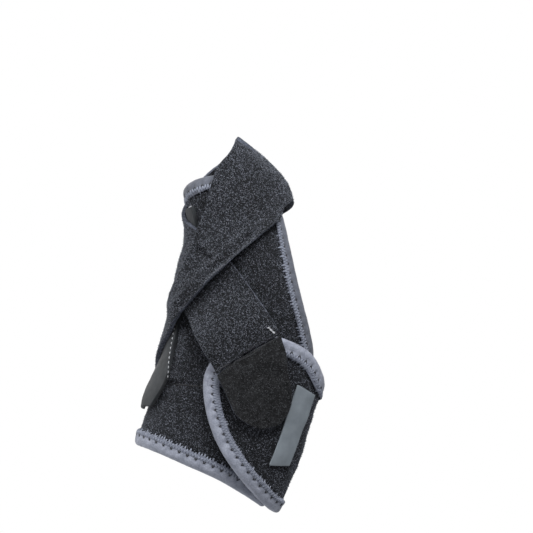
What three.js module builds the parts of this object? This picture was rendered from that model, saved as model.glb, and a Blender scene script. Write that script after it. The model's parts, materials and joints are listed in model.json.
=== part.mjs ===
import * as THREE from "three";

// Thumb spica splint, the left one of its kind, closed as in use, in millimetres.
// +Z runs up from the hem to the strap, -Y is its front, the palm side, where the flap closes,
// and -X its thumb side. The origin is the middle of the opening inside the hem.

// Driving sizes
const WRIST_WIDTH = 61;
const WRIST_DEPTH = 44;
const WEB_HEIGHT = 126;
const PANEL_WALL = 2.6;
const FLAP_WALL = 2.4;
const TAPE_WALL = 0.6;
const HEM_TAPE_WIDTH = 6;
const EDGE_TAPE_WIDTH = 5.4;
const FLAP_TAPE_WIDTH = 5.8;
const STRAP_WIDTH = 28;
const STRAP_WALL = 2;
const TAB_WALL = 2.2;
const TAB_LENGTH = 31;
const POCKET_WALL = 1.6;
const LABEL_WALL = 0.6;
const SEAM_BOW = 1; // of the seam between tab and strap
const SEAM_SLANT = 4;
const GAP = 0.4;
const STEEPEST_RISE = 0.35; // how fast a layer climbs over what lies under it
const LEVEL_LAP = 4; // how far past an edge the layer over it stays level

// Shares and angles
const ROUND_END = 0.42; // length of the tab's rounded end, in strap widths
const TIP_NARROWING = 0.94; // how far that end draws in, squared, 1 being a point
const FLAP_CLIMB = { from: -8, to: 25 }; // turns where the flap rises over the palm edge
const FIRST_PASS_END = 250; // turn up to which the strap's second pass lies on its first

// How finely the pieces are cut into faces
const PANEL_COLUMNS = 40;
const PANEL_ROWS = 22;
const FIRST_BOUND_ROW = 9; // below it the palm edge is bare, under the flap
const CORNER_POINTS = 3; // that the thumb opening's tape leaves to the tapes beside it
const FLAP_POINTS = 48;
const FLAP_SEAM_POINTS = 8;
const FLAP_RINGS = [1, 0.92, 0.83, 0.66, 0.46, 0.24]; // shares of the way out from its middle
const POCKET_ROWS = 20;
const POCKET_COLUMNS = 8;
const LABEL_ROWS = 8;
const LABEL_COLUMNS = 3;
const STRAP_COLUMNS = 7;
const STRAP_STEP = 4;
const TAB_STEP = 1.6;
const ROUTE_STEPS = 900; // in which the strap's route is measured
const WALK_STEP = 2.5;
const SLOPE_STEP = 0.05;

// The form that the splint is shaped round, cut level: rise in web heights, left and right in
// wrist widths, front and back in wrist depths. Pinch draws its +X side together.
const SECTIONS = [
  { rise: -0.11, left: -0.498, right: 0.459, front: -0.489, back: 0.489, pinch: 0 },
  { rise: 0, left: -0.498, right: 0.475, front: -0.495, back: 0.491, pinch: 0 },
  { rise: 0.12, left: -0.511, right: 0.505, front: -0.5, back: 0.491, pinch: 0 },
  { rise: 0.24, left: -0.511, right: 0.492, front: -0.5, back: 0.486, pinch: 0 },
  { rise: 0.36, left: -0.53, right: 0.458, front: -0.505, back: 0.482, pinch: 0 },
  { rise: 0.48, left: -0.556, right: 0.434, front: -0.518, back: 0.477, pinch: 0.02 },
  { rise: 0.555, left: -0.59, right: 0.41, front: -0.532, back: 0.464, pinch: 0.05 },
  { rise: 0.635, left: -0.623, right: 0.352, front: -0.541, back: 0.441, pinch: 0.1 },
  { rise: 0.714, left: -0.64, right: 0.238, front: -0.532, back: 0.409, pinch: 0.15 },
  { rise: 0.794, left: -0.704, right: 0.107, front: -0.505, back: 0.368, pinch: 0.2 },
  { rise: 0.85, left: -0.798, right: 0.011, front: -0.473, back: 0.336, pinch: 0.23 },
  { rise: 0.897, left: -0.87, right: -0.082, front: -0.441, back: 0.3, pinch: 0.27 },
  { rise: 0.937, left: -0.886, right: -0.18, front: -0.409, back: 0.273, pinch: 0.3 },
  { rise: 0.98, left: -0.892, right: -0.239, front: -0.375, back: 0.241, pinch: 0.34 },
  { rise: 1, left: -0.89, right: -0.287, front: -0.352, back: 0.225, pinch: 0.35 },
  { rise: 1.016, left: -0.893, right: -0.352, front: -0.335, back: 0.207, pinch: 0.36 },
  { rise: 1.032, left: -0.896, right: -0.426, front: -0.318, back: 0.191, pinch: 0.36 },
  { rise: 1.048, left: -0.9, right: -0.516, front: -0.3, back: 0.173, pinch: 0.33 },
  { rise: 1.063, left: -0.903, right: -0.623, front: -0.282, back: 0.157, pinch: 0.3 },
  { rise: 1.09, left: -0.908, right: -0.79, front: -0.25, back: 0.125, pinch: 0.2 },
];

// Outlines and routes on that form: turn in degrees round it from +X over the front, rise in
// web heights.
const HEM = [
  { turn: 28, rise: -0.008 },
  { turn: 54, rise: 0.011 },
  { turn: 80, rise: 0.027 },
  { turn: 109, rise: 0.031 },
  { turn: 140, rise: 0.031 },
  { turn: 180, rise: 0.023 },
  { turn: 225, rise: 0.023 },
  { turn: 270, rise: 0.026 },
  { turn: 315, rise: 0.012 },
  { turn: 344, rise: -0.002 },
];
const PALM_EDGE = [
  { turn: 28, rise: -0.008 },
  { turn: 28, rise: 0.24 },
  { turn: 28, rise: 0.46 },
  { turn: 31.7, rise: 0.519 },
  { turn: 40.6, rise: 0.58 },
  { turn: 47.4, rise: 0.637 },
  { turn: 51.4, rise: 0.708 },
  { turn: 49.6, rise: 0.826 },
  { turn: 42, rise: 0.91 },
];
const THUMB_EDGE = [
  { turn: 42, rise: 0.91 },
  { turn: 62, rise: 0.96 },
  { turn: 90, rise: 0.972 },
  { turn: 119, rise: 0.949 },
  { turn: 148, rise: 0.91 },
  { turn: 172, rise: 0.884 },
  { turn: 205, rise: 0.876 },
  { turn: 240, rise: 0.9 },
  { turn: 275, rise: 0.925 },
  { turn: 312, rise: 0.9 },
];
const BACK_EDGE = [
  { turn: 344, rise: -0.002 },
  { turn: 344, rise: 0.18 },
  { turn: 344, rise: 0.36 },
  { turn: 338, rise: 0.45 },
  { turn: 322, rise: 0.54 },
  { turn: 311, rise: 0.63 },
  { turn: 306, rise: 0.73 },
  { turn: 307, rise: 0.83 },
  { turn: 312, rise: 0.9 },
];
const FLAP_EDGE = [
  { turn: -14, rise: -0.002 },
  { turn: 8, rise: -0.006 },
  { turn: 29, rise: -0.001 },
  { turn: 46, rise: 0.022 },
  { turn: 61, rise: 0.05 },
  { turn: 78, rise: 0.094 },
  { turn: 91, rise: 0.142 },
  { turn: 103, rise: 0.208 },
  { turn: 111.5, rise: 0.282 },
  { turn: 114, rise: 0.337 },
  { turn: 111, rise: 0.39 },
  { turn: 105, rise: 0.445 },
  { turn: 94, rise: 0.497 },
  { turn: 84, rise: 0.521 },
  { turn: 73.7, rise: 0.53 },
  { turn: 60, rise: 0.531 },
  { turn: 48, rise: 0.523 },
  { turn: 38, rise: 0.504 },
  { turn: 29, rise: 0.475 },
  { turn: 18, rise: 0.443 },
  { turn: 4, rise: 0.426 },
  { turn: -14, rise: 0.42 },
];
const FLAP_MIDDLE = { turn: 52, rise: 0.27 };
const POCKET = {
  palmSide: [
    { turn: 153.8, rise: 0.16 },
    { turn: 147.4, rise: 0.25 },
    { turn: 154.4, rise: 0.36 },
    { turn: 158, rise: 0.5 },
    { turn: 158, rise: 0.64 },
    { turn: 154, rise: 0.76 },
    { turn: 149, rise: 0.85 },
  ],
  backSide: [
    { turn: 188, rise: 0.135 },
    { turn: 198, rise: 0.25 },
    { turn: 198, rise: 0.36 },
    { turn: 198, rise: 0.5 },
    { turn: 198, rise: 0.64 },
    { turn: 197, rise: 0.74 },
    { turn: 196, rise: 0.82 },
  ],
};
const LABEL = {
  lower: [{ turn: 51.2, rise: 0.13 }, { turn: 33.5, rise: 0.15 }],
  upper: [{ turn: 49, rise: 0.412 }, { turn: 30, rise: 0.398 }],
};
// Middle of the strap, from the tip of its tab to its sewn end at the back, and its width there
// in strap widths: the strap is cut wider where it passes through the web
const STRAP_ROUTE = [
  { turn: 61.5, rise: 0.247, width: 0.74 },
  { turn: 74, rise: 0.34, width: 0.82 },
  { turn: 83, rise: 0.406, width: 0.91 },
  { turn: 93.1, rise: 0.469, width: 1 },
  { turn: 105.9, rise: 0.522, width: 1 },
  { turn: 124, rise: 0.588, width: 1 },
  { turn: 150, rise: 0.655, width: 1 },
  { turn: 180, rise: 0.705, width: 1 },
  { turn: 210, rise: 0.765, width: 1 },
  { turn: 242, rise: 0.85, width: 1.04 },
  { turn: 275, rise: 0.938, width: 1.08 },
  { turn: 315, rise: 1.005, width: 1.12 },
  { turn: 360, rise: 1.036, width: 1.14 },
  { turn: 405, rise: 1.02, width: 1.15 },
  { turn: 433, rise: 0.965, width: 1.08 },
  { turn: 444.5, rise: 0.906, width: 1.05 },
  { turn: 463.5, rise: 0.84, width: 0.84 },
  { turn: 483, rise: 0.757, width: 0.64 },
  { turn: 493, rise: 0.688, width: 0.5 },
  { turn: 502.5, rise: 0.617, width: 0.4 },
  { turn: 518, rise: 0.51, width: 0.36 },
  { turn: 545, rise: 0.393, width: 0.46 },
  { turn: 573, rise: 0.3, width: 0.58 },
  { turn: 586, rise: 0.22, width: 0.62 },
];

// Points on the unrolled form: x is the way round, in millimetres at the wrist, y is the rise
const ARC_PER_DEGREE = (Math.PI * (WRIST_WIDTH + WRIST_DEPTH)) / 4 / 180;
const unrolled = ({ turn, rise }) => new THREE.Vector2(turn * ARC_PER_DEGREE, rise * WEB_HEIGHT);

const sections = new THREE.CubicInterpolant(
  SECTIONS.map((row) => row.rise * WEB_HEIGHT),
  SECTIONS.flatMap((row) => [
    row.left * WRIST_WIDTH,
    row.right * WRIST_WIDTH,
    row.front * WRIST_DEPTH,
    row.back * WRIST_DEPTH,
    row.pinch,
  ]),
  5,
);

function onForm(point) {
  const [left, right, front, back, pinch] = sections.evaluate(point.y);
  const angle = THREE.MathUtils.degToRad(point.x / ARC_PER_DEGREE);
  const narrowing = 1 - pinch * Math.max(0, Math.cos(angle)) ** 1.5;
  const x = (left + right) / 2 + ((right - left) / 2) * Math.cos(angle);
  const y = (front + back) / 2 - ((back - front) / 2) * Math.sin(angle) * narrowing;
  return new THREE.Vector3(x, y, point.y);
}

// The two directions of the unrolled form at a point, and the way out of it
function frameAt(point) {
  const step = SLOPE_STEP;
  const moved = (dx, dy) => onForm(new THREE.Vector2(point.x + dx, point.y + dy));
  const round = moved(step, 0).sub(moved(-step, 0)).divideScalar(2 * step);
  const along = moved(0, step).sub(moved(0, -step)).divideScalar(2 * step);
  const out = new THREE.Vector3().crossVectors(along, round).normalize();
  return { round, along, out };
}

function place(point, height) {
  return onForm(point).addScaledVector(frameAt(point).out, height);
}

// Goes straight over the form from a point, in a direction in space, for a distance
function walk(start, direction, distance) {
  const point = start.clone();
  const heading = direction.clone().multiplyScalar(Math.sign(distance) || 1);
  const steps = Math.max(1, Math.ceil(Math.abs(distance) / WALK_STEP));
  const length = Math.abs(distance) / steps;
  for (let i = 0; i < steps; i++) {
    const { round, along, out } = frameAt(point);
    heading.addScaledVector(out, -heading.dot(out)).normalize();
    const rr = round.dot(round);
    const ra = round.dot(along);
    const aa = along.dot(along);
    const hr = heading.dot(round);
    const ha = heading.dot(along);
    const determinant = rr * aa - ra * ra;
    point.x += ((hr * aa - ha * ra) / determinant) * length;
    point.y += ((ha * rr - hr * ra) / determinant) * length;
  }
  return point;
}

// Evenly spaced points along a smooth line through the rows of a table
function line(rows, count) {
  const points = rows.map(unrolled).map((p) => new THREE.Vector3(p.x, p.y, 0));
  const curve = new THREE.CatmullRomCurve3(points, false, "centripetal");
  return curve.getSpacedPoints(count).map((p) => new THREE.Vector2(p.x, p.y));
}

const rowBetween = (from, to, count) =>
  Array.from({ length: count + 1 }, (_, i) => from.clone().lerp(to, i / count));

function distanceToLine(point, points) {
  let nearest = Infinity;
  for (let i = 1; i < points.length; i++) {
    const side = points[i].clone().sub(points[i - 1]);
    const reach = point.clone().sub(points[i - 1]);
    const share = THREE.MathUtils.clamp(reach.dot(side) / side.lengthSq(), 0, 1);
    nearest = Math.min(nearest, reach.addScaledVector(side, -share).length());
  }
  return nearest;
}

function isInside(point, outline) {
  let inside = false;
  for (let i = 0, j = outline.length - 1; i < outline.length; j = i++) {
    const a = outline[i];
    const b = outline[j];
    const crosses = a.y > point.y !== b.y > point.y;
    if (crosses && point.x < ((b.x - a.x) * (point.y - a.y)) / (b.y - a.y) + a.x) inside = !inside;
  }
  return inside;
}

// Height that a layer needs so as to clear one below it, which it leaves on a gentle slope
function clearing(top, distance) {
  return top - STEEPEST_RISE * Math.max(0, distance - LEVEL_LAP);
}

const hemLine = line(HEM, PANEL_COLUMNS);
const thumbLine = line(THUMB_EDGE, PANEL_COLUMNS);
const palmLine = line(PALM_EDGE, PANEL_ROWS);
const backLine = line(BACK_EDGE, PANEL_ROWS);
const flapLine = line(FLAP_EDGE, FLAP_POINTS);
const flapSeam = Array.from({ length: FLAP_SEAM_POINTS }, (_, i) =>
  flapLine.at(-1).clone().lerp(flapLine[0], (i + 1) / (FLAP_SEAM_POINTS + 1)),
);
const flapOutline = [...flapLine, ...flapSeam];
const boundPalmLine = palmLine.slice(FIRST_BOUND_ROW);
const boundThumbLine = thumbLine.slice(CORNER_POINTS, -CORNER_POINTS);
const boundBackLine = backLine.filter((p) => p.y > flapLine.at(-1).y + 2 * GAP + TAPE_WALL);

const PANEL_TOP = PANEL_WALL;
const TAPE_TOP = PANEL_TOP + GAP + TAPE_WALL;
const POCKET_TOP = PANEL_TOP + GAP + POCKET_WALL;

// Top of the panel with its tapes
function panelTop(point) {
  const hem = clearing(TAPE_TOP, distanceToLine(point, hemLine) - HEM_TAPE_WIDTH);
  const upperEdges = [boundPalmLine, thumbLine, boundBackLine];
  const others = upperEdges.map((edge) => clearing(TAPE_TOP, distanceToLine(point, edge) - EDGE_TAPE_WIDTH));
  return Math.max(PANEL_TOP, hem, ...others);
}

// The flap lies on the form at its seam and climbs over the panel's palm edge
function flapFloor(point) {
  const turn = point.x / ARC_PER_DEGREE;
  const climbed = THREE.MathUtils.smoothstep(turn, FLAP_CLIMB.from, FLAP_CLIMB.to);
  return climbed * (panelTop(point) + GAP + TAPE_WALL + GAP);
}
const flapTop = (point) => flapFloor(point) + FLAP_WALL;

const pocketPalmLine = line(POCKET.palmSide, POCKET_ROWS);
const pocketBackLine = line(POCKET.backSide, POCKET_ROWS);
const pocketOutline = [...pocketPalmLine, ...pocketBackLine.slice().reverse()];

const labelOutline = [...LABEL.lower, ...LABEL.upper.slice().reverse()].map(unrolled);

// Top of all that lies under the strap
function coveredTop(point) {
  const tops = [panelTop(point)];
  const toLabel = isInside(point, labelOutline) ? 0 : distanceToLine(point, labelOutline);
  tops.push(clearing(flapTop(point) + GAP + LABEL_WALL, toLabel));
  const toPocket = isInside(point, pocketOutline) ? 0 : distanceToLine(point, pocketOutline);
  tops.push(clearing(POCKET_TOP, toPocket));
  const onFlap = isInside(point, flapOutline);
  const toFlapEdge = distanceToLine(point, flapLine);
  const tapeTop = flapTop(point) + GAP + TAPE_WALL;
  if (onFlap) tops.push(flapTop(point), clearing(tapeTop, toFlapEdge - FLAP_TAPE_WIDTH));
  else tops.push(clearing(tapeTop, toFlapEdge));
  return Math.max(...tops);
}

// Makes one closed body from corner points and the quads and triangles between them
function body(name, corners, faces, finish) {
  const positions = corners.flatMap((corner) => corner.toArray());
  const index = faces.flatMap((f) => (f.length === 4 ? [f[0], f[1], f[2], f[0], f[2], f[3]] : f));
  const geometry = new THREE.BufferGeometry();
  geometry.setAttribute("position", new THREE.Float32BufferAttribute(positions, 3));
  geometry.setIndex(index);
  geometry.computeVertexNormals();
  const mesh = new THREE.Mesh(geometry, new THREE.MeshStandardMaterial({ metalness: 0, ...finish }));
  mesh.name = name;
  return mesh;
}

// A sheet on the form from rows of points, with an under face and a wall above it
function sheet(name, rows, floor, wall, finish) {
  const columns = rows[0].length;
  const corners = [];
  for (const height of [0, wall]) {
    for (const row of rows) corners.push(...row.map((p) => place(p, floor(p) + height)));
  }
  const lower = (r, c) => r * columns + c;
  const upper = (r, c) => (rows.length + r) * columns + c;
  const faces = [];
  const last = { row: rows.length - 1, column: columns - 1 };
  for (let r = 0; r < last.row; r++) {
    for (let c = 0; c < last.column; c++) {
      faces.push([lower(r, c), lower(r, c + 1), lower(r + 1, c + 1), lower(r + 1, c)]);
      faces.push([upper(r, c), upper(r + 1, c), upper(r + 1, c + 1), upper(r, c + 1)]);
    }
    faces.push([lower(r, 0), lower(r + 1, 0), upper(r + 1, 0), upper(r, 0)]);
    const c = last.column;
    faces.push([lower(r, c), upper(r, c), upper(r + 1, c), lower(r + 1, c)]);
  }
  for (let c = 0; c < last.column; c++) {
    faces.push([lower(0, c), upper(0, c), upper(0, c + 1), lower(0, c + 1)]);
    const r = last.row;
    faces.push([lower(r, c), lower(r, c + 1), upper(r, c + 1), upper(r, c)]);
  }
  return body(name, corners, faces, finish);
}

// A sheet with a free outline, made of rings drawn in towards its middle
function disc(name, outline, middle, floor, wall, finish) {
  const count = outline.length;
  const rings = FLAP_RINGS.map((share) => outline.map((p) => middle.clone().lerp(p, share)));
  const points = [...rings.flat(), middle];
  const corners = [0, wall].flatMap((height) => points.map((p) => place(p, floor(p) + height)));
  const faces = [];
  for (let i = 0; i < count; i++) {
    const next = (i + 1) % count;
    for (let ring = 0; ring < rings.length - 1; ring++) {
      const outer = ring * count;
      const inner = outer + count;
      faces.push([outer + i, outer + next, inner + next, inner + i]);
      const up = points.length;
      faces.push([up + outer + i, up + inner + i, up + inner + next, up + outer + next]);
    }
    const up = points.length;
    const innermost = (rings.length - 1) * count;
    faces.push([innermost + i, innermost + next, up - 1]);
    faces.push([up + innermost + i, 2 * up - 1, up + innermost + next]);
    faces.push([i, up + i, up + next, next]);
  }
  return body(name, corners, faces, finish);
}

const noFloor = () => 0;

// A tape folded over an edge: the edge runs along its points, with the cloth on the given side
function tape(name, edge, side, floor, wall, width, finish) {
  const steps = floor === noFloor ? 1 : 2;
  const inwards = Array.from({ length: steps }, (_, k) => width * (1 - k / steps));
  const leg = (end, height) => [...inwards, end].map((distance) => [distance, height]);
  const legs = [
    ...leg(-GAP - TAPE_WALL, wall + GAP + TAPE_WALL),
    ...leg(-GAP - TAPE_WALL, -GAP - TAPE_WALL).reverse(),
    ...leg(-GAP, -GAP),
    ...leg(-GAP, wall + GAP).reverse(),
  ];
  const corners = edge.flatMap((point, i) => {
    const before = place(edge[Math.max(0, i - 1)], 0);
    const after = place(edge[Math.min(edge.length - 1, i + 1)], 0);
    const { out } = frameAt(point);
    const inward = new THREE.Vector3().crossVectors(out, after.sub(before)).normalize();
    return legs.map(([distance, height]) => {
      const at = walk(point, inward.clone().multiplyScalar(side), distance);
      return place(at, floor(at) + height);
    });
  });
  const faces = [];
  const turned = (face) => (side > 0 ? face.reverse() : face);
  for (let i = 0; i < edge.length - 1; i++) {
    for (let j = 0; j < legs.length; j++) {
      const k = (j + 1) % legs.length;
      const a = i * legs.length;
      const b = a + legs.length;
      faces.push(turned([a + j, b + j, b + k, a + k]));
    }
  }
  const n = legs.length;
  const endFaces = Array.from({ length: n / 2 - 1 }, (_, j) => [j, j + 1, n - 2 - j, n - 1 - j]);
  const lastSection = (edge.length - 1) * legs.length;
  for (const face of endFaces) {
    faces.push(turned([...face]));
    faces.push(turned(face.map((i) => i + lastSection).reverse()));
  }
  return body(name, corners, faces, finish);
}

const PANEL_CLOTH = { color: "#2b2c31", roughness: 0.95 };
const TAPE_CLOTH = { color: "#5d6070", roughness: 0.85 };
const LABEL_CLOTH = { color: "#5b5e66", roughness: 0.8 };
const POCKET_CLOTH = { color: "#33343a", roughness: 0.8 };
const TAB_CLOTH = { color: "#2c2d31", roughness: 0.9 };

// Panel: blended from its four edges
function wristPanel() {
  const rows = palmLine.map((left, r) => {
    const v = r / PANEL_ROWS;
    const right = backLine[r];
    return hemLine.map((low, c) => {
      const u = c / PANEL_COLUMNS;
      const sides = left.clone().lerp(right, u);
      const ends = low.clone().lerp(thumbLine[c], v);
      const lowCorners = hemLine[0].clone().lerp(hemLine[PANEL_COLUMNS], u);
      const highCorners = thumbLine[0].clone().lerp(thumbLine[PANEL_COLUMNS], u);
      return sides.add(ends).sub(lowCorners.lerp(highCorners, v));
    });
  });
  return sheet("wrist_panel", rows, noFloor, PANEL_WALL, PANEL_CLOTH);
}

function closingFlap() {
  return disc("closing_flap", flapOutline, unrolled(FLAP_MIDDLE), flapFloor, FLAP_WALL, PANEL_CLOTH);
}

function stayPocket() {
  const rows = pocketPalmLine.map((p, i) => rowBetween(p, pocketBackLine[i], POCKET_COLUMNS));
  return sheet("stay_pocket", rows, () => PANEL_TOP + GAP, POCKET_WALL, POCKET_CLOTH);
}

function flapLabel() {
  const rows = Array.from({ length: LABEL_ROWS + 1 }, (_, r) => {
    const ends = LABEL.lower.map((low, i) => unrolled(low).lerp(unrolled(LABEL.upper[i]), r / LABEL_ROWS));
    return rowBetween(ends[1], ends[0], LABEL_COLUMNS);
  });
  return sheet("flap_label", rows, (p) => flapTop(p) + GAP, LABEL_WALL, LABEL_CLOTH);
}

// Strap: a flat ribbon that runs over the form, the second time over itself
const strapMiddle = (() => {
  const points = STRAP_ROUTE.map((row) => {
    const { x, y } = unrolled(row);
    return new THREE.Vector3(x, y, row.width * STRAP_WIDTH);
  });
  const fine = new THREE.CatmullRomCurve3(points, false, "centripetal").getPoints(ROUTE_STEPS);
  const kept = [];
  let length = 0;
  let run = STRAP_STEP;
  let last;
  for (const { x, y, z } of fine) {
    const point = new THREE.Vector2(x, y);
    const step = last ? place(point, PANEL_TOP).distanceTo(place(last, PANEL_TOP)) : 0;
    length += step;
    run += step;
    last = point;
    if (run >= (length < TAB_LENGTH ? TAB_STEP : STRAP_STEP)) {
      kept.push({ point, width: z, length });
      run = 0;
    }
  }
  return kept;
})();

// A row of points across the strap, which the seam's slant and bow move along it
function ribbonRow(i, width, seam, past) {
  const before = strapMiddle[Math.max(0, i - 2)].point;
  const after = strapMiddle[Math.min(strapMiddle.length - 1, i + 2)].point;
  const forward = place(after, PANEL_TOP).sub(place(before, PANEL_TOP)).normalize();
  const { out } = frameAt(strapMiddle[i].point);
  const sideways = new THREE.Vector3().crossVectors(out, forward).normalize();
  return Array.from({ length: STRAP_COLUMNS + 1 }, (_, c) => {
    const share = (2 * c) / STRAP_COLUMNS - 1;
    const at = walk(strapMiddle[i].point, sideways, (share * width) / 2);
    const moved = seam * (SEAM_BOW * (1 - share * share) - SEAM_SLANT * share) + past;
    return walk(at, forward, moved);
  });
}

const seamIndex = strapMiddle.findLastIndex(({ length }) => length <= TAB_LENGTH);
const tabRows = strapMiddle.slice(0, seamIndex + 1).map(({ width, length }, i) => {
  const toTip = Math.max(0, 1 - length / (ROUND_END * STRAP_WIDTH));
  const narrowed = width * Math.sqrt(1 - toTip * toTip * TIP_NARROWING);
  return ribbonRow(i, narrowed, length / strapMiddle[seamIndex].length, 0);
});
const strapRows = strapMiddle.slice(seamIndex).map(({ width, length }, i) => {
  const past = length - strapMiddle[seamIndex].length;
  return ribbonRow(seamIndex + i, width, Math.max(0, 1 - past / STRAP_WIDTH), i ? 0 : GAP);
});

// Outline of the first pass, which the second one goes over
const isFirstPass = (row) => row[0].x + row.at(-1).x < 2 * FIRST_PASS_END * ARC_PER_DEGREE;
const firstRows = [...tabRows, ...strapRows].filter(isFirstPass);
const firstOutline = [...firstRows.map((row) => row[0]), ...firstRows.map((row) => row.at(-1)).reverse()];

// The strap's floor, over what it covers and then also over its own first pass
function strapFloor(point) {
  const onceRound = new THREE.Vector2(point.x - 360 * ARC_PER_DEGREE, point.y);
  const first = Math.max(coveredTop(point), coveredTop(onceRound)) + GAP;
  const toFirst = isInside(onceRound, firstOutline) ? 0 : distanceToLine(onceRound, firstOutline);
  return Math.max(first, clearing(first + STRAP_WALL + GAP, toFirst));
}

const strapTab = () => sheet("strap_tab", tabRows, strapFloor, TAB_WALL, TAB_CLOTH);
const thumbStrap = () => sheet("thumb_strap", strapRows, strapFloor, STRAP_WALL, TAB_CLOTH);

const splint = new THREE.Group();
splint.add(
  wristPanel(),
  tape("hem_binding", hemLine, -1, noFloor, PANEL_WALL, HEM_TAPE_WIDTH, TAPE_CLOTH),
  tape("palm_binding", boundPalmLine, 1, noFloor, PANEL_WALL, EDGE_TAPE_WIDTH, TAPE_CLOTH),
  tape("thumb_binding", boundThumbLine, 1, noFloor, PANEL_WALL, EDGE_TAPE_WIDTH, TAPE_CLOTH),
  tape("back_binding", boundBackLine, -1, noFloor, PANEL_WALL, EDGE_TAPE_WIDTH, TAPE_CLOTH),
  stayPocket(),
  closingFlap(),
  tape("flap_binding", flapLine, -1, flapFloor, FLAP_WALL, FLAP_TAPE_WIDTH, TAPE_CLOTH),
  flapLabel(),
  strapTab(),
  thumbStrap(),
);

export default splint;
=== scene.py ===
import heapq
import json
import math

import bpy
import numpy as np
from mathutils import Matrix, Vector
from mathutils.bvhtree import BVHTree
from mathutils.kdtree import KDTree

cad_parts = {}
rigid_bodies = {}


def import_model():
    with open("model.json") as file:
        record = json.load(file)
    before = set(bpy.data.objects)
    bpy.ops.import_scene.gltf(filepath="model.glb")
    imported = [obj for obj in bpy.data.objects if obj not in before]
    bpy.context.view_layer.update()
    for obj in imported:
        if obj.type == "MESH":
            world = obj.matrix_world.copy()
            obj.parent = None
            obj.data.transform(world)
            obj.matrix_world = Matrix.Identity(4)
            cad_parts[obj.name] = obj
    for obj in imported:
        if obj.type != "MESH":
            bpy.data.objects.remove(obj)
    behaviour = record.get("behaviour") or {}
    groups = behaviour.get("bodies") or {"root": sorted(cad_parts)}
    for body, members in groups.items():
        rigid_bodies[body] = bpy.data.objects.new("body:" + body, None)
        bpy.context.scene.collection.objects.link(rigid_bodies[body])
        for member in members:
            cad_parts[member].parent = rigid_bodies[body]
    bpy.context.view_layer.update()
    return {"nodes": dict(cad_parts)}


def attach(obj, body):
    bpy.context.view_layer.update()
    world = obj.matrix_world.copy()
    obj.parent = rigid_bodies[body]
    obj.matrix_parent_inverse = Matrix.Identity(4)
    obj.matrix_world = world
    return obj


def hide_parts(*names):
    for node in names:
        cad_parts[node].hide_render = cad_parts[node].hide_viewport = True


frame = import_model()
MM = 0.001


# The form that the splint is shaped round. Every seam, edge and stitch is placed on it by a turn
# in degrees, from the +X side over the front, and a rise up from the hem, and is then seated on
# the cloth that carries it.
WRIST_WIDTH = 61
WRIST_DEPTH = 44
WEB_HEIGHT = 126
SECTIONS = (  # rise, left, right, front, back, pinch
    (-0.11, -0.498, 0.459, -0.489, 0.489, 0),
    (0, -0.498, 0.475, -0.495, 0.491, 0),
    (0.12, -0.511, 0.505, -0.5, 0.491, 0),
    (0.24, -0.511, 0.492, -0.5, 0.486, 0),
    (0.36, -0.53, 0.458, -0.505, 0.482, 0),
    (0.48, -0.556, 0.434, -0.518, 0.477, 0.02),
    (0.555, -0.59, 0.41, -0.532, 0.464, 0.05),
    (0.635, -0.623, 0.352, -0.541, 0.441, 0.1),
    (0.714, -0.64, 0.238, -0.532, 0.409, 0.15),
    (0.794, -0.704, 0.107, -0.505, 0.368, 0.2),
    (0.85, -0.798, 0.011, -0.473, 0.336, 0.23),
    (0.897, -0.87, -0.082, -0.441, 0.3, 0.27),
    (0.937, -0.886, -0.18, -0.409, 0.273, 0.3),
    (0.98, -0.892, -0.239, -0.375, 0.241, 0.34),
    (1, -0.89, -0.287, -0.352, 0.225, 0.35),
    (1.016, -0.893, -0.352, -0.335, 0.207, 0.36),
    (1.032, -0.896, -0.426, -0.318, 0.191, 0.36),
    (1.048, -0.9, -0.516, -0.3, 0.173, 0.33),
    (1.063, -0.903, -0.623, -0.282, 0.157, 0.3),
    (1.09, -0.908, -0.79, -0.25, 0.125, 0.2),
)


def smooth(at, knots, values):
    """Values between the rows of a table, along smooth curves."""
    at, knots, values = (np.asarray(x, float) for x in (at, knots, values))
    slopes = np.gradient(values, knots, axis=0)
    i = np.clip(np.searchsorted(knots, at) - 1, 0, len(knots) - 2)
    span = (knots[i + 1] - knots[i])[:, None]
    t = np.clip((at - knots[i])[:, None] / span, 0, 1)
    start = (1 + 2 * t) * (1 - t) ** 2 * values[i] + t * (1 - t) ** 2 * slopes[i] * span
    end = t**2 * (3 - 2 * t) * values[i + 1] + t**2 * (t - 1) * slopes[i + 1] * span
    return start + end


def sizes_at(rises):
    rows = np.array(SECTIONS)
    share = smooth(rises, rows[:, 0], rows[:, 1:])
    return share * np.array([WRIST_WIDTH, WRIST_WIDTH, WRIST_DEPTH, WRIST_DEPTH, 1])


def on_form(turns, rises):
    left, right, front, back, pinch = sizes_at(rises).T
    angle = np.radians(turns)
    narrowing = 1 - pinch * np.maximum(0, np.cos(angle)) ** 1.5
    x = (left + right) / 2 + (right - left) / 2 * np.cos(angle)
    y = (front + back) / 2 - (back - front) / 2 * np.sin(angle) * narrowing
    return np.stack([x, y, rises * WEB_HEIGHT], 1) * MM


def unit(rows):
    return rows / np.maximum(np.linalg.norm(rows, axis=1, keepdims=True), 1e-12)


def out_of_form(turns, rises):
    round_it = on_form(turns + 0.2, rises) - on_form(turns - 0.2, rises)
    up_it = on_form(turns, rises + 0.001) - on_form(turns, rises - 0.001)
    return unit(np.cross(up_it, round_it))


def turn_and_rise(points):
    """Where points near the form are on it."""
    rises = points[:, 2] / MM / WEB_HEIGHT
    left, right, front, back, _ = sizes_at(rises).T
    across = (points[:, 0] / MM - (left + right) / 2) / ((right - left) / 2)
    deep = -(points[:, 1] / MM - (front + back) / 2) / ((back - front) / 2)
    return np.degrees(np.arctan2(deep, across)) % 360, rises


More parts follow.
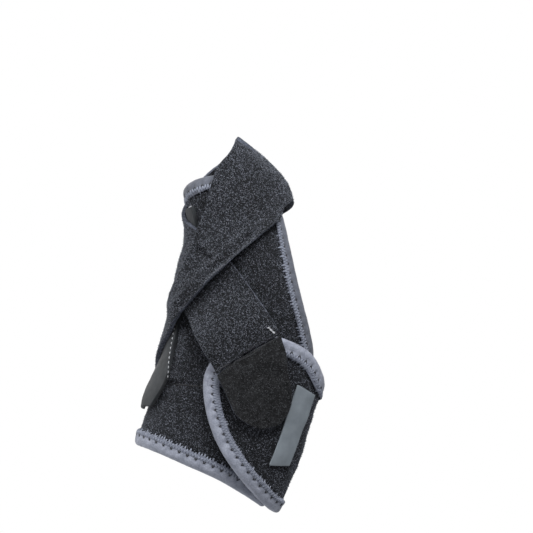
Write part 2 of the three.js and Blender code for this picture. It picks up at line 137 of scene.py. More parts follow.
def edge_line(table, pitch):
    """Points a pitch apart along a smooth line through a table of turns and rises."""
    rows = np.array(table, float)
    flat = rows * [math.pi * (WRIST_WIDTH + WRIST_DEPTH) / 4 / 180, WEB_HEIGHT]
    knots = np.concatenate([[0], np.cumsum(np.linalg.norm(np.diff(flat, axis=0), axis=1))])
    fine = smooth(np.linspace(0, knots[-1], 2000), knots, rows)
    places = on_form(fine[:, 0], fine[:, 1])
    run = np.concatenate([[0], np.cumsum(np.linalg.norm(np.diff(places, axis=0), axis=1))])
    at = np.linspace(0, run[-1], max(2, round(run[-1] / pitch / MM) + 1))
    return np.stack([np.interp(at, run, fine[:, k]) for k in (0, 1)], 1)


# The wrap is one sheet of foam laminate about 2.6 mm thick, with a brushed loop face outside. It
# goes from the palm side round the thumb side to the back, and its cut edges are bound. A short
# seam gathers it beside the stay pocket.
def colour(text):
    parts = [int(text[i : i + 2], 16) / 255 for i in (1, 3, 5)]
    return [c / 12.92 if c <= 0.04045 else ((c + 0.055) / 1.055) ** 2.4 for c in parts] + [1]


def add(material, kind, settings=(), links=()):
    node = material.node_tree.nodes.new(kind)
    for name, value in dict(settings).items():
        if isinstance(name, int) or name in node.inputs:
            node.inputs[name].default_value = value
        else:
            setattr(node, name, value)
    for name, socket in dict(links).items():
        material.node_tree.links.new(socket, node.inputs[name])
    return node


def new_material(name):
    material = bpy.data.materials.new(name)
    material.use_nodes = True
    material.node_tree.nodes.clear()
    return material


def ramp(material, socket, stops):
    node = add(material, "ShaderNodeValToRGB", {}, {"Fac": socket})
    while len(node.color_ramp.elements) < len(stops):
        node.color_ramp.elements.new(0.5)
    for element, (place, text) in zip(node.color_ramp.elements, stops):
        element.position = place
        element.color = colour(text)
    return node


def noise(material, scale, detail=2, roughness=0.5, distortion=0):
    coords = add(material, "ShaderNodeTexCoord")
    settings = {"Scale": scale, "Detail": detail, "Roughness": roughness, "Distortion": distortion}
    return add(material, "ShaderNodeTexNoise", settings, {"Vector": coords.outputs["Object"]}).outputs["Fac"]


def cells(material, scale, randomness):
    coords = add(material, "ShaderNodeTexCoord")
    settings = {"Scale": scale, "Randomness": randomness}
    node = add(material, "ShaderNodeTexVoronoi", settings, {"Vector": coords.outputs["Object"]})
    return node.outputs["Distance"]


def between(material, socket, start, end, low=0, high=1):
    """Goes from low to high as the socket's value goes from start to end."""
    settings = {"From Min": start, "From Max": end, "To Min": low, "To Max": high}
    return add(material, "ShaderNodeMapRange", settings, {"Value": socket}).outputs["Result"]


def shaded(material, tone, shade):
    settings = {"data_type": "RGBA", "blend_type": "MULTIPLY", 0: 1.0}
    return add(material, "ShaderNodeMix", settings, {6: tone, 7: shade}).outputs[2]


def end_material(material, settings, links, height, strength, depth):
    """Adds the shader, with a bump that is depth millimetres high, and the output."""
    bump = add(material, "ShaderNodeBump", {"Strength": strength, "Distance": depth * MM}, {"Height": height})
    links = {**links, "Normal": bump.outputs["Normal"]}
    shader = add(material, "ShaderNodeBsdfPrincipled", settings, links)
    add(material, "ShaderNodeOutputMaterial", {}, {"Surface": shader.outputs["BSDF"]})
    return material


# Brushed nylon loop pile: dark curled fibres that stand up, grey where the light catches a curl.
# The curls are under 0.4 mm, so they are drawn at 0.6 mm to show. The nap lies in patches that
# differ in tone by depth, up or down.
def loop_pile(name, deep, mid, fleck, fleck_start, patches=95, depth=0.25):
    material = new_material(name)
    curls = noise(material, 1900, 3, 0.65)
    tips = noise(material, 1750, 2, 0.8, 1.5)
    nap = noise(material, patches, 3, 0.6)
    ground = ramp(material, curls, [(0.36, deep), (0.64, mid)])
    flecks = between(material, tips, fleck_start, fleck_start + 0.13)
    with_flecks = add(material, "ShaderNodeMix", {"data_type": "RGBA", 7: colour(fleck)},
                      {0: flecks, 6: ground.outputs["Color"]})
    shade = between(material, nap, 0.3, 0.7, 0.97 - depth, 0.97 + depth)
    tone = shaded(material, with_flecks.outputs[2], shade)
    height = add(material, "ShaderNodeMath", {"operation": "ADD"}, {0: curls, 1: flecks}).outputs[0]
    settings = {"Roughness": 0.92, "Sheen Weight": 0.34, "Sheen Roughness": 0.4,
                "Sheen Tint": colour("#b9bfcc"), "Specular IOR Level": 0.25}
    return end_material(material, settings, {"Base Color": tone}, height, 0.55, 0.35)


pile_cloth = loop_pile("brushed loop pile", "#060608", "#1b1d21", "#979dab", 0.575)

# Cut edge of the laminate: knit, foam and knit pressed together, paler than the pile and smooth.
cut_edge = new_material("cut laminate edge")
_grain = noise(cut_edge, 1500)
_tone = ramp(cut_edge, _grain, [(0.35, "#30323a"), (0.7, "#646a78")]).outputs["Color"]
end_material(cut_edge, {"Roughness": 0.8, "Specular IOR Level": 0.3},
             {"Base Color": _tone}, _grain, 0.4, 0.15)


def select_only(piece):
    for other in bpy.context.view_layer.objects:
        other.select_set(False)
    piece.select_set(True)
    bpy.context.view_layer.objects.active = piece


def points_of(piece):
    flat = np.empty(len(piece.data.vertices) * 3)
    piece.data.vertices.foreach_get("co", flat)
    return flat.reshape(-1, 3)


def move_points(piece, points):
    piece.data.vertices.foreach_set("co", points.ravel())
    piece.data.update()


def cloth_from(node, name, levels, materials, sharpness=0.0):
    """The cloth that stands for a node, cut finely. Its edges are rounded, less where sharper."""
    piece = bpy.data.objects.new(name, frame["nodes"][node].data.copy())
    bpy.context.scene.collection.objects.link(piece)
    select_only(piece)
    bpy.ops.object.mode_set(mode="EDIT")
    bpy.ops.mesh.select_all(action="SELECT")
    bpy.ops.mesh.remove_doubles(threshold=0.001 * MM)
    bpy.ops.mesh.tris_convert_to_quads(face_threshold=math.radians(70), shape_threshold=math.radians(70))
    bpy.ops.mesh.select_all(action="DESELECT")
    bpy.ops.mesh.select_mode(type="EDGE")
    bpy.ops.mesh.edges_select_sharp(sharpness=math.radians(45))
    bpy.ops.transform.edge_crease(value=sharpness)
    bpy.ops.object.mode_set(mode="OBJECT")
    piece.data.materials.clear()
    for material in materials:
        piece.data.materials.append(material)
    centres = np.array([face.center for face in piece.data.polygons])
    normals = np.array([face.normal for face in piece.data.polygons])
    out = out_of_form(*turn_and_rise(centres))
    on_edge = np.abs((normals * out).sum(1)) < 0.5
    for face, edge in zip(piece.data.polygons, on_edge):
        face.material_index = int(edge and len(materials) > 1)
        face.use_smooth = True
    finish_with(piece, "SUBSURF", levels=levels, render_levels=levels)
    return piece


def finish_with(piece, kind, **settings):
    modifier = piece.modifiers.new(kind.title(), kind)
    for name, value in settings.items():
        setattr(modifier, name, value)
    select_only(piece)
    bpy.ops.object.modifier_apply(modifier=modifier.name)


def uneven(piece, size, depth):
    """Soft unevenness of that size and depth, in millimetres, as cloth has."""
    texture = bpy.data.textures.new("unevenness", "CLOUDS")
    texture.noise_scale = size * MM
    texture.noise_depth = 1
    finish_with(piece, "DISPLACE", texture=texture, strength=depth * MM, texture_coords="LOCAL")


def outward(points):
    return out_of_form(*turn_and_rise(points))


panel = cloth_from("wrist_panel", "wrist_panel_cloth", 2, [pile_cloth, cut_edge])
uneven(panel, 14, 0.9)
uneven(panel, 2.2, 0.28)

# lines on the front are given as (x, z) in millimetres; this one is the seam beside the pocket
PANEL_SEAM = ((-27.8, 32.2), (-21, 34.6), (-13.5, 36.8))
SEAM_DEPTH = 1.5
SEAM_WIDTH = 1.25
BELOW_STRAP = ((-29, 58), (-26.5, 55), (-22.5, 51.5), (-18, 48.5))
BELOW_STRAP_DEPTH = 1.5
BELOW_STRAP_WIDTH = 2.2


def far_from(line, at):
    """How far places on the front are from a line on it, in millimetres."""
    rows = np.array(line, float)
    nearest = np.full(len(at), 1e9)
    for a, b in zip(rows[:-1], rows[1:]):
        share = np.clip(((at - a) @ (b - a)) / ((b - a) @ (b - a)), 0, 1)
        nearest = np.minimum(nearest, np.linalg.norm(at - a - share[:, None] * (b - a), axis=1))
    return nearest


def faces_front(out):
    return np.clip(-3 * out[:, 1], 0, 1)


def sink_along(piece, line, depth, width, part=1):
    """Presses a groove with a soft roll at each side into the front of a piece, or a part of it."""
    points = points_of(piece)
    away = far_from(line, points[:, [0, 2]] / MM)
    groove = np.exp(-((away / width) ** 2))
    roll = np.exp(-(((away - 2.2 * width) / (0.9 * width)) ** 2))
    out = outward(points)
    front = faces_front(out) * part
    move_points(piece, points + out * (front * (0.3 * roll - groove) * depth * MM)[:, None])


sink_along(panel, PANEL_SEAM, SEAM_DEPTH, SEAM_WIDTH)
sink_along(panel, BELOW_STRAP, BELOW_STRAP_DEPTH, BELOW_STRAP_WIDTH)


# The tapes are knitted nylon, 6 mm wide when folded over the edge, and sewn down with a cover
# stitch: two threads that zigzag over the inner half of the tape and bite into the pile, with a
# row of needle holes along the middle. Each tape puckers a little at every hole.
def soft_tape(name, light, dark):
    material = new_material(name)
    knit = cells(material, 1700, 0.7)
    worn = noise(material, 260, 4, 0.7)
    tone = ramp(material, worn, [(0.32, dark), (0.68, light)]).outputs["Color"]
    tone = shaded(material, tone, between(material, knit, 0.1, 0.7, 1.06, 0.8))
    settings = {"Roughness": 0.8, "Sheen Weight": 0.25, "Sheen Roughness": 0.5, "Specular IOR Level": 0.3}
    return end_material(material, settings, {"Base Color": tone}, knit, 0.45, 0.2)


def thread_material(name, text):
    material = new_material(name)
    settings = {"Base Color": colour(text), "Roughness": 0.55, "Sheen Weight": 0.2}
    return end_material(material, settings, {}, noise(material, 3500), 0.4, 0.05)


tape_cloth = soft_tape("knitted nylon binding", "#abb0bf", "#8a8f9e")
tape_under_stitch = soft_tape("binding under the cover stitch", "#858a9b", "#696e7c")
# The palm, thumb and back tapes get a darker copy of the same binding: painted shade, for the shade those
# edges lie in.
shade_painted_tape = soft_tape("knitted nylon binding, darker for painted shade", "#6c707b", "#565a64")
shade_painted_under_stitch = soft_tape("binding under the cover stitch, darker for painted shade", "#646875", "#50545f")
pale_thread = thread_material("polyester thread, pale grey", "#8c92a1")
white_thread = thread_material("polyester thread, white", "#d5d8de")
dark_thread = thread_material("polyester thread, slate", "#1d1f25")


def surface_of(*pieces):
    points, faces = [], []
    for piece in pieces:
        faces += [[len(points) + i for i in face.vertices] for face in piece.data.polygons]
        points += [tuple(v.co) for v in piece.data.vertices]
    return BVHTree.FromPolygons(points, faces)


def seat(surface, places, out, reach=9):
    """Where the outermost cloth is, straight under each place, and the way up from it there."""
    found, ups = [], []
    for place, up in zip(places, out):
        start = Vector(place + up * reach * MM)
        hit, normal, _, _ = surface.ray_cast(start, Vector(-up), 2 * reach * MM)
        if hit is None:
            hit, normal, _, _ = surface.find_nearest(Vector(place))
        if normal.dot(Vector(up)) < 0:
            normal = -normal
        found.append(hit)
        ups.append(normal)
    return np.array(found), unit(np.array(ups))


def on_front(surface, line, pitch):
    """Points along a smooth line of (x, z) on the front of a piece."""
    rows = np.array(line, float)
    knots = np.concatenate([[0], np.cumsum(np.linalg.norm(np.diff(rows, axis=0), axis=1))])
    at = np.linspace(0, knots[-1], max(2, round(knots[-1] / pitch) + 1))
    flat = smooth(at, knots, rows)
    starts = np.stack([flat[:, 0], np.full(len(flat), -40.0), flat[:, 1]], 1) * MM
    return seat(surface, starts, np.tile([0.0, -1.0, 0.0], (len(flat), 1)), 40)


def threads(name, runs, radius, material, sides=5):
    """One mesh of thread from runs of points on the cloth, each with the way up from it."""
    points, faces = [], []
    for places, ups in runs:
        along = unit(np.gradient(places, axis=0))
        across = unit(np.cross(ups, along))
        base = len(points)
        for place, up, side in zip(places, ups, across):
            for j in range(sides):
                turn = 2 * math.pi * j / sides
                points.append(place + (math.cos(turn) * up + math.sin(turn) * side) * radius * MM)
        for k in range(len(places) - 1):
            for j in range(sides):
                a = base + k * sides + j
                b = base + k * sides + (j + 1) % sides
                faces.append((a, b, b + sides, a + sides))
        faces.append([base + j for j in reversed(range(sides))])
        faces.append([base + (len(places) - 1) * sides + j for j in range(sides)])
    mesh = bpy.data.meshes.new(name)
    mesh.from_pydata(points, [], faces)
    piece = bpy.data.objects.new(name, mesh)
    bpy.context.scene.collection.objects.link(piece)
    mesh.materials.append(material)
    select_only(piece)
    bpy.ops.object.mode_set(mode="EDIT")
    bpy.ops.mesh.select_all(action="SELECT")
    bpy.ops.mesh.normals_make_consistent(inside=False)
    bpy.ops.object.mode_set(mode="OBJECT")
    bpy.ops.object.shade_smooth()
    return piece


def stitch(surface, places, out, lift=0.12, points=5):
    """Short stitches between successive places: each rises from the cloth and goes back in."""
    runs = []
    for a, b, up_a, up_b in zip(places[:-1], places[1:], out[:-1], out[1:]):
        share = np.linspace(0, 1, points)[:, None]
        seated, ups = seat(surface, a + (b - a) * share, unit(up_a + (up_b - up_a) * share))
        rise = (np.sin(share * math.pi) * 1.6 - 0.6) * lift * MM
        runs.append((seated + ups * rise, ups))
    return runs


NEEDLE_PITCH = 3.6
NEEDLE_LINE = 0.5  # from the folded edge, in tape widths
NEEDLE_MARK_LENGTH = 1.15
NEEDLE_MARK_SPREAD = 0.6
NEEDLE_THREAD = 0.24  # radius
COVER_PITCH = 1.2
COVER_LINE = 0.62
COVER_THREAD = 0.2
BITE = 0.8  # how far the threads go past the tape, in millimetres
BITE_VARIES = (-1.1, 0.4)
PUCKER = 0.5
PUCKER_REACH = 0.75


def beside_edge(table, pitch, side, inset):
    """Places a pitch apart that far in from an edge, with the ways inward, along and up there."""
    rows = edge_line(table, pitch)
    edge = on_form(rows[:, 0], rows[:, 1])
    ups = out_of_form(rows[:, 0], rows[:, 1])
    along = unit(np.gradient(edge, axis=0))
    inward = unit(np.cross(ups, along)) * side
    return edge + inward * inset * MM, inward, along, ups


def tree_of(places):
    tree = KDTree(len(places))
    for i, place in enumerate(places):
        tree.insert(Vector(place), i)
    tree.balance()
    return tree


def bound_edge(node, name, table, side, width, carrier, materials):
    """A tape with its cover stitch. side says on which side of the edge the cloth is."""
    tape = cloth_from(node, name, 3, materials)
    uneven(tape, 3.0, 0.22)
    needles, inward, along, ups = beside_edge(table, NEEDLE_PITCH, side, width * NEEDLE_LINE)
    surface = surface_of(tape, carrier)
    holes, _ = seat(surface, needles, ups)
    near = tree_of(holes)
    points = points_of(tape)
    away = np.array([near.find(Vector(p))[2] for p in points]) / MM
    sunk = PUCKER * np.exp(-((away / PUCKER_REACH) ** 2)) * MM
    move_points(tape, points - outward(points) * sunk[:, None])
    surface = surface_of(tape, carrier)
    marks = []
    for place, inner, run, up in zip(needles, inward, along, ups):
        for turn in (-1, 1):
            mark = inner * NEEDLE_MARK_LENGTH + run * turn * NEEDLE_MARK_SPREAD
            ends = np.array([place, place + mark * MM])
            marks += stitch(surface, ends, np.array([up, up]), 0.1, 3)
    dark = threads(name + "_needle_line", marks, NEEDLE_THREAD, dark_thread)

    outer, inward, _, ups = beside_edge(table, COVER_PITCH / 2, side, width * COVER_LINE)
    line, _ = seat(surface, outer, ups)
    near = tree_of(line)
    for face in tape.data.polygons:
        _, i, _ = near.find(face.center)
        face.material_index = int(np.dot(np.array(face.center) - line[i], inward[i]) > 0)
    rng = np.random.default_rng(len(outer))
    reach = width * (1 - COVER_LINE) + BITE + rng.uniform(*BITE_VARIES, len(outer))
    inner = outer + inward * reach[:, None] * MM
    zigzag = np.where(np.arange(len(outer))[:, None] % 2, inner, outer)
    runs = stitch(surface, zigzag, ups, 0.15, 4)
    pale = threads(name + "_cover_stitch", runs, COVER_THREAD, pale_thread)
    for piece in (tape, pale, dark):
        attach(piece, "root")
    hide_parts(node)
    return tape, pale, dark


# The seam is drawn as a thick dark thread sunk in its groove. It is partly the seam's thread and partly
# painted shade, standing in for the shadow in the groove, which the cloth is too coarse to cast.
_places, _ups = on_front(surface_of(panel), PANEL_SEAM, 1.2)
panel_seam_and_shade = threads("wrist_panel_seam", [(_places - _ups * 0.1 * MM, _ups)], 0.38, dark_thread)
for _piece in (panel, panel_seam_and_shade):
    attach(_piece, "root")
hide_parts("wrist_panel")

HEM = ((28, -0.008), (54, 0.011), (80, 0.027), (109, 0.031), (140, 0.031), (180, 0.023), (225, 0.023),
       (270, 0.026), (315, 0.012), (344, -0.002))
PALM_EDGE = ((28, 0.43), (31.7, 0.519), (40.6, 0.58), (47.4, 0.637), (51.4, 0.708), (49.6, 0.826), (42, 0.91))
THUMB_EDGE = ((50, 0.93), (62, 0.96), (90, 0.972), (119, 0.949), (148, 0.91), (172, 0.884), (205, 0.876),
              (240, 0.9), (275, 0.925), (302, 0.91))
BACK_EDGE = ((341, 0.41), (338, 0.45), (322, 0.54), (311, 0.63), (306, 0.73), (307, 0.83), (312, 0.9))
HEM_TAPE_WIDTH = 6
EDGE_TAPE_WIDTH = 5.4
# The hem and flap tapes keep the plain binding; the palm, thumb and back tapes take the darker copies, which
# are painted shade.
_plain_tapes = [tape_cloth, tape_under_stitch]
_shade_painted_tapes = [shade_painted_tape, shade_painted_under_stitch]
for _node, _table, _side, _width, _unfolded, _cloths in (
    ("hem_binding", HEM, -1, HEM_TAPE_WIDTH, 0.015, _plain_tapes),
    ("palm_binding", PALM_EDGE, 1, EDGE_TAPE_WIDTH, 0.015, _shade_painted_tapes),
    ("thumb_binding", THUMB_EDGE, 1, EDGE_TAPE_WIDTH, 0.0125, _shade_painted_tapes),
    ("back_binding", BACK_EDGE, -1, EDGE_TAPE_WIDTH, 0.0125, _shade_painted_tapes),
):
    _tape, _pale, _dark = bound_edge(_node, _node + "_tape", _table, _side, _width, panel, _cloths)
    _places = on_form(*edge_line(_table, 5).T)


# The stay pocket is a smooth knitted sleeve sewn to the thumb side with pale thread down its
# front edge. Its slanted lower mouth stands a little proud of the wrap.
pocket_knit = new_material("smooth tricot knit")
_ribs = cells(pocket_knit, 2300, 0.5)
_rub = noise(pocket_knit, 140, 4, 0.65)
_tone = ramp(pocket_knit, _rub, [(0.3, "#1c1f22"), (0.7, "#303438")]).outputs["Color"]
end_material(pocket_knit, {"Roughness": 0.75, "Sheen Weight": 0.15, "Specular IOR Level": 0.35},
             {"Base Color": _tone}, _ribs, 0.35, 0.12)

pocket = cloth_from("stay_pocket", "stay_pocket_sleeve", 3, [pocket_knit], 0.7)
uneven(pocket, 9, 0.7)
uneven(pocket, 2.5, 0.15)
MOUTH_HEIGHT = 27  # where the sleeve stands out most, above the hem
MOUTH_STANDS_OUT = 2.0
MOUTH_REACH = 11
_points = points_of(pocket)
_bulge = np.exp(-(((_points[:, 2] / MM - MOUTH_HEIGHT) / MOUTH_REACH) ** 2)) * MOUTH_STANDS_OUT * MM
move_points(pocket, _points + outward(_points) * _bulge[:, None])
POCKET_SEAM = ((-36.1, 56.5), (-34.8, 50), (-33.7, 45), (-31.9, 38.5), (-30.1, 33))
POCKET_TACK = ((-50.6, 106.2), (-48.6, 102.9))

_surface = surface_of(pocket)
_runs = []
for _line in (POCKET_SEAM, POCKET_TACK):
    _places, _ups = on_front(_surface, _line, 1.0)
    _runs += stitch(_surface, _places, _ups, 0.2)[::2]
pocket_seam = threads("stay_pocket_seam", _runs, 0.17, white_thread)
for _piece in (pocket, pocket_seam):
    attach(_piece, "root")
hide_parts("stay_pocket")


# The closing flap is the same laminate as the wrap, cut to a tongue and bound all round its free
# edge. Its label is a bare woven patch, sewn on flat.
flap = cloth_from("closing_flap", "closing_flap_cloth", 3, [pile_cloth, cut_edge])
uneven(flap, 12, 0.7)
uneven(flap, 2.2, 0.25)
FLAP_EDGE = ((-14, -0.002), (8, -0.006), (29, -0.001), (46, 0.022), (61, 0.05), (78, 0.094), (91, 0.142),
             (103, 0.208), (111.5, 0.282), (114, 0.337), (111, 0.39), (105, 0.445), (94, 0.497), (84, 0.521),
             (73.7, 0.53), (60, 0.531), (48, 0.523), (38, 0.504), (29, 0.475), (18, 0.443), (4, 0.426),
             (-14, 0.42))
FLAP_TAPE_WIDTH = 5.8
flap_tape, _pale, _dark = bound_edge("flap_binding", "flap_binding_tape", FLAP_EDGE, -1,
                                     FLAP_TAPE_WIDTH, flap, _plain_tapes)

# a flat seam joins the flap to the wrap on the +X side
FLAP_SEAM = ((-15, -0.012), (-15, 0.1), (-15, 0.25), (-15, 0.405))
FLAP_SEAM_WIDTH = 3.2
_surface = surface_of(flap, panel, flap_tape)
_rows = edge_line(FLAP_SEAM, 0.7)
_places = on_form(*_rows.T)
_ups = out_of_form(*_rows.T)
_across = unit(np.cross(_ups, np.gradient(_places, axis=0)))
_sides = np.where(np.arange(len(_rows))[:, None] % 2, 1, -1)
_teeth = _places + _across * _sides * FLAP_SEAM_WIDTH / 2 * MM
_seated, _seated_ups = seat(_surface, _teeth, _ups)
_cover = [(_seated + _seated_ups * 0.1 * MM, _ups)]
_core = [((_seated[:-1] + _seated[1:]) / 2 - _ups[1:] * 0.5 * MM, _ups[1:])]
flap_seam = threads("closing_flap_seam", _cover, 0.22, dark_thread)
flap_seam_core = threads("closing_flap_seam_core", _core, 0.9, dark_thread, 8)
for _piece in (flap, flap_seam, flap_seam_core):
    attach(_piece, "root")
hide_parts("closing_flap")

woven_patch = new_material("woven patch, plain grey")
_weave = cells(woven_patch, 2600, 0.15)
_rub = noise(woven_patch, 160, 3)
_tone = ramp(woven_patch, _rub, [(0.3, "#7b838a"), (0.7, "#8e979f")]).outputs["Color"]
end_material(woven_patch, {"Roughness": 0.6, "Specular IOR Level": 0.35},
             {"Base Color": _tone}, _weave, 0.2, 0.08)
label = cloth_from("flap_label", "flap_label_patch", 3, [woven_patch], 0.9)
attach(label, "root")
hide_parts("flap_label")


# The strap is a ribbon of the same laminate, cut to shape and left raw at its edges. Its end is a
# tab of hook tape: a matt field of short hooks, sewn on across a slightly curved seam and
# finished with a small white bar tack.
hook_field = loop_pile("moulded hook tape", "#0d0d0e", "#2a2b2d", "#74777b", 0.63, 480, 0.7)
strap = cloth_from("thumb_strap", "thumb_strap_cloth", 3, [pile_cloth, cut_edge], 0.45)
uneven(strap, 13, 0.8)
uneven(strap, 2.2, 0.25)
tab = cloth_from("strap_tab", "strap_tab_hooks", 3, [hook_field, cut_edge], 0.5)
uneven(tab, 7, 0.9)
uneven(tab, 1.6, 0.42)

TAB_SEAM = ((6.3, 67.6), (1.7, 62), (-1, 57.4), (-5.1, 52.8), (-10, 48.2), (-11.8, 45.1))
SEWN_REACH = 2.2


def sewn_against(piece, other, reach):
    """Gives a piece its face cloth, not its cut edge, where it is sewn to another."""
    surface = surface_of(other)
    for face in piece.data.polygons:
        if face.material_index and surface.find_nearest(face.center)[3] < reach * MM:
            face.material_index = 0


sewn_against(strap, tab, SEWN_REACH)
sewn_against(tab, strap, SEWN_REACH)


def way_along(piece, start):
    """How far each point of a ribbon is from its end at start, by way of the ribbon's own edges."""
    points = points_of(piece)
    ways = [[] for _ in points]
    for edge in piece.data.edges:
        a, b = edge.vertices
        step = float(np.linalg.norm(points[a] - points[b]))
        ways[a].append((b, step))
        ways[b].append((a, step))
    far = np.full(len(points), np.inf)
    first = int(np.argmin(np.linalg.norm(points - start, axis=1)))
    far[first] = 0
    queue = [(0.0, first)]
    while queue:
        run, at = heapq.heappop(queue)
        if run > far[at]:
            continue
        for other, step in ways[at]:
            if run + step < far[other]:
                far[other] = run + step
                heapq.heappush(queue, (run + step, other))
    return far


def lift_edge(piece, line, reach, lift, part):
    """Curls the part of a ribbon near a line of (x, z) on the front away from what it lies on."""
    points = points_of(piece)
    at = points[:, [0, 2]] / MM
    first, last = np.array(line[0]), np.array(line[-1])
    ends = np.minimum(np.linalg.norm(at - first, axis=1), np.linalg.norm(at - last, axis=1))
    out = outward(points)
    weight = np.clip(1 - far_from(line, at) / reach, 0, 1) ** 1.5 * np.clip(ends / reach, 0, 1)
    move_points(piece, points + out * (weight * faces_front(out) * part * lift * MM)[:, None])


UPPER_RUN_EDGE = ((-11.4, 117.8), (-12.5, 111.2), (-23.6, 89.5), (-32.4, 73.9), (-36.8, 59.6))
UPPER_RUN_LIFT = 2.4
UPPER_RUN_REACH = 8
LOWER_RUN_EDGE = ((-30, 62), (-27.7, 58), (-21.5, 53.5), (-15.7, 49.8), (-12, 46))
LOWER_RUN_LIFT = 2.4
LOWER_RUN_REACH = 7
UPPER_RUN_CREASE = ((-20, 103), (-23.6, 95.5), (-30.1, 82.1), (-34.2, 71.8), (-36.6, 64.6))
UPPER_RUN_DENT = ((-38.3, 89.1), (-32.3, 87.4))
UPPER_RUN_STARTS = 0.13  # metres from the tab
_way = way_along(strap, np.array([0, -0.02, 0.06]))
_upper = _way > UPPER_RUN_STARTS
lift_edge(strap, UPPER_RUN_EDGE, UPPER_RUN_REACH, UPPER_RUN_LIFT, _upper)
lift_edge(strap, LOWER_RUN_EDGE, LOWER_RUN_REACH, LOWER_RUN_LIFT, _way < UPPER_RUN_STARTS)
sink_along(strap, UPPER_RUN_CREASE, 1.2, 1.4, _upper)
sink_along(strap, UPPER_RUN_DENT, 1.4, 1.2, _upper)

_surface = surface_of(strap, tab)
_places, _ups = on_front(_surface, TAB_SEAM, 1.3)
_runs = stitch(_surface, _places, _ups, 0.12)
tab_seam = threads("strap_tab_seam", _runs, 0.22, dark_thread)
BAR_TACK = ((0.7, 69.9), (4.1, 68.6))
BAR_TACK_HEIGHT = 0.5
BAR_TACK_STEPS = 15
_start, _end = np.array(BAR_TACK)
_run = _end - _start
_side = np.array([-_run[1], _run[0]]) / np.linalg.norm(_run) * BAR_TACK_HEIGHT
_zigzag = []
for _step in range(BAR_TACK_STEPS + 1):
    _reach = (1 if _step % 2 else -1) * (0.7 + 0.3 * math.cos(_step))
    _zigzag.append(_start + _run * _step / BAR_TACK_STEPS + _side * _reach)
_places, _ups = on_front(surface_of(strap), _zigzag, 0.45)
bar_tack = threads("strap_bar_tack", [(_places + _ups * 0.22 * MM, _ups)], 0.16, white_thread)
for _piece, _slot in (
    (strap, "loop_laminate"),
    (tab, "tab_cloth"),
    (tab_seam, "tab_cloth"),
    (bar_tack, "tab_cloth"),
):
    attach(_piece, "root")
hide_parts("thumb_strap")
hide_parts("strap_tab")


# The loops that stand up from the brushed face: fine arches of nylon, paler than the ground.
# Real ones are thinner and many times denser, and the material carries the rest.
FIBRE = 0.055  # radius


def loops_on(piece, name, per_square_mm, size, seed):
    rng = np.random.default_rng(seed)
    piece.data.calc_loop_triangles()
    corners = points_of(piece)[np.array([t.vertices[:] for t in piece.data.loop_triangles])]
    is_pile = np.array([piece.data.polygons[t.polygon_index].material_index == 0
                        for t in piece.data.loop_triangles])
    normal = np.cross(corners[:, 1] - corners[:, 0], corners[:, 2] - corners[:, 0])
    area = np.linalg.norm(normal, axis=1) / 2
    facing = (unit(normal) * outward(corners.mean(1))).sum(1)
    weight = area * (is_pile & (facing > 0.3))
    count = int(weight.sum() / MM**2 * per_square_mm)
    chosen = rng.choice(len(weight), count, p=weight / weight.sum())
    u, v = rng.random((2, count))
    flip = u + v > 1
    u[flip], v[flip] = 1 - u[flip], 1 - v[flip]
    a, b, c = (corners[chosen, k] for k in range(3))
    base = a + (b - a) * u[:, None] + (c - a) * v[:, None]
    up = unit(unit(normal[chosen]) + rng.normal(0, 0.35, (count, 3)))
    along = unit(np.cross(up, rng.normal(size=(count, 3))))
    across = np.cross(up, along)
    reach = size * MM * rng.uniform(0.6, 1.3, count)[:, None]
    thick = FIBRE * MM * rng.uniform(0.8, 1.5, count)[:, None]
    path = [base - along * reach * 0.5 - up * 0.1 * MM, base + up * reach * 0.62,
            base + along * reach * 0.5 - up * 0.1 * MM]
    ring = [up, (-0.5 * up + 0.87 * across), (-0.5 * up - 0.87 * across)]
    points = np.stack([p + r * thick for p in path for r in ring], 1).reshape(-1, 3)
    sides = [(0, 3, 4, 1), (1, 4, 5, 2), (2, 5, 3, 0), (3, 6, 7, 4), (4, 7, 8, 5), (5, 8, 6, 3)]
    starts = (np.arange(count) * 9)[:, None]
    quads = np.concatenate([starts + np.array(s) for s in sides]).tolist()
    ends = np.concatenate([starts + np.array(s) for s in [(0, 1, 2), (8, 7, 6)]]).tolist()
    mesh = bpy.data.meshes.new(name)
    mesh.from_pydata(points, [], quads + ends)
    loops = bpy.data.objects.new(name, mesh)
    bpy.context.scene.collection.objects.link(loops)
    return loops


nylon_loops = thread_material("nylon loop fibre", "#7f8490")
hooks = thread_material("hook fibre", "#46494e")
for _piece, _name, _fibre, _slot, _density, _size, _seed in (
    (panel, "wrist_panel_pile", nylon_loops, "loop_laminate", 0.8, 0.52, 3),
    (flap, "closing_flap_pile", nylon_loops, "loop_laminate", 0.8, 0.52, 5),
    (strap, "thumb_strap_pile", nylon_loops, "loop_laminate", 1.3, 0.52, 7),
    (tab, "strap_tab_pile", hooks, "tab_cloth", 1.4, 0.6, 9),
):
    _loops = loops_on(_piece, _name, _density, _size, _seed)
    _loops.data.materials.append(_fibre)
    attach(_loops, "root")


# A plain pale floor well below the splint, soft studio light from the upper left and front, and
# the camera turned 22 degrees, as in the photograph.
FLOOR_DROP = 0.25
bpy.ops.mesh.primitive_circle_add(vertices=96, radius=0.95, fill_type="NGON", location=(0, 0, -FLOOR_DROP))
floor = bpy.context.active_object
floor.name = "floor"
floor_paint = new_material("matt white floor")
_shader = add(floor_paint, "ShaderNodeBsdfPrincipled", {"Base Color": colour("#f2f2f2"), "Roughness": 0.8})
add(floor_paint, "ShaderNodeOutputMaterial", {}, {"Surface": _shader.outputs["BSDF"]})
floor.data.materials.append(floor_paint)

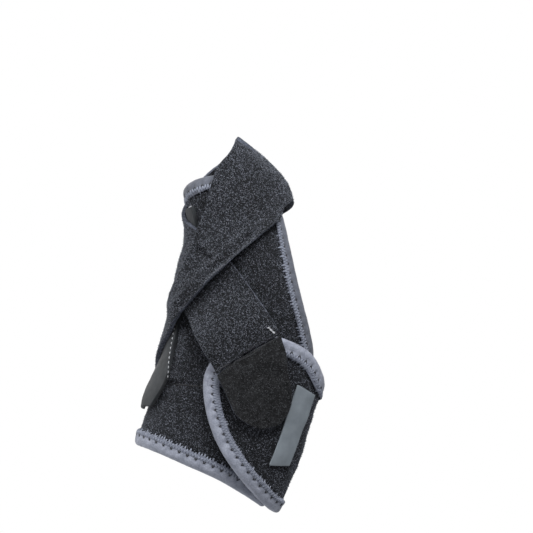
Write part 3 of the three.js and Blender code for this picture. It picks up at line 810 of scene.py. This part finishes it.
world = bpy.data.worlds.new("studio")
world.use_nodes = True
bpy.context.scene.world = world
world.node_tree.nodes.clear()
_path = add(world, "ShaderNodeLightPath")
_ambient = add(world, "ShaderNodeBackground", {"Color": colour("#eef1f8"), "Strength": 0.14})
_white = add(world, "ShaderNodeBackground", {"Color": (1, 1, 1, 1), "Strength": 1.0})
_mix = add(world, "ShaderNodeMixShader", {},
           {0: _path.outputs["Is Camera Ray"], 1: _ambient.outputs[0], 2: _white.outputs[0]})
add(world, "ShaderNodeOutputWorld", {}, {"Surface": _mix.outputs[0]})
bpy.context.scene.view_settings.view_transform = "Standard"

AIM = Vector((-9.4, -18, 93.1)) * MM
for _name, _place, _size, _power in (
    ("key", (-0.45, -0.45, 0.6), 0.3, 1.6),
    ("left", (-1.1, -0.35, 0.1), 0.7, 5.0),
    ("right", (1.25, -0.5, 0.35), 0.8, 2.2),
    ("top", (-0.02, -0.22, 0.36), 0.16, 1.3),
    ("rim", (-0.9, 0.8, 0.3), 0.5, 3),
):
    _data = bpy.data.lights.new(_name, "AREA")
    _data.size = _size
    _data.energy = _power
    _light = bpy.data.objects.new(_name, _data)
    bpy.context.scene.collection.objects.link(_light)
    _light.location = _place
    _light.rotation_euler = (AIM - Vector(_place)).to_track_quat("-Z", "Y").to_euler()

CAMERA_DISTANCE = 1.4
CAMERA_ROLL = math.radians(22)
VIEW_WIDTH = 0.2239  # of the photograph's frame, at the front of the splint
SENSOR = 36
camera_data = bpy.data.cameras.new("camera")
camera_data.sensor_width = SENSOR
camera_data.lens = SENSOR * CAMERA_DISTANCE / VIEW_WIDTH
camera_data.clip_end = 100
camera = bpy.data.objects.new("camera", camera_data)
bpy.context.scene.collection.objects.link(camera)
_right = Vector((math.cos(CAMERA_ROLL), 0, math.sin(CAMERA_ROLL)))
_up = Vector((-math.sin(CAMERA_ROLL), 0, math.cos(CAMERA_ROLL)))
_back = _right.cross(_up)
_turned = Matrix((_right, _up, _back)).transposed().to_4x4()
_turned.translation = AIM + _back * CAMERA_DISTANCE
camera.matrix_world = _turned
bpy.context.scene.camera = camera
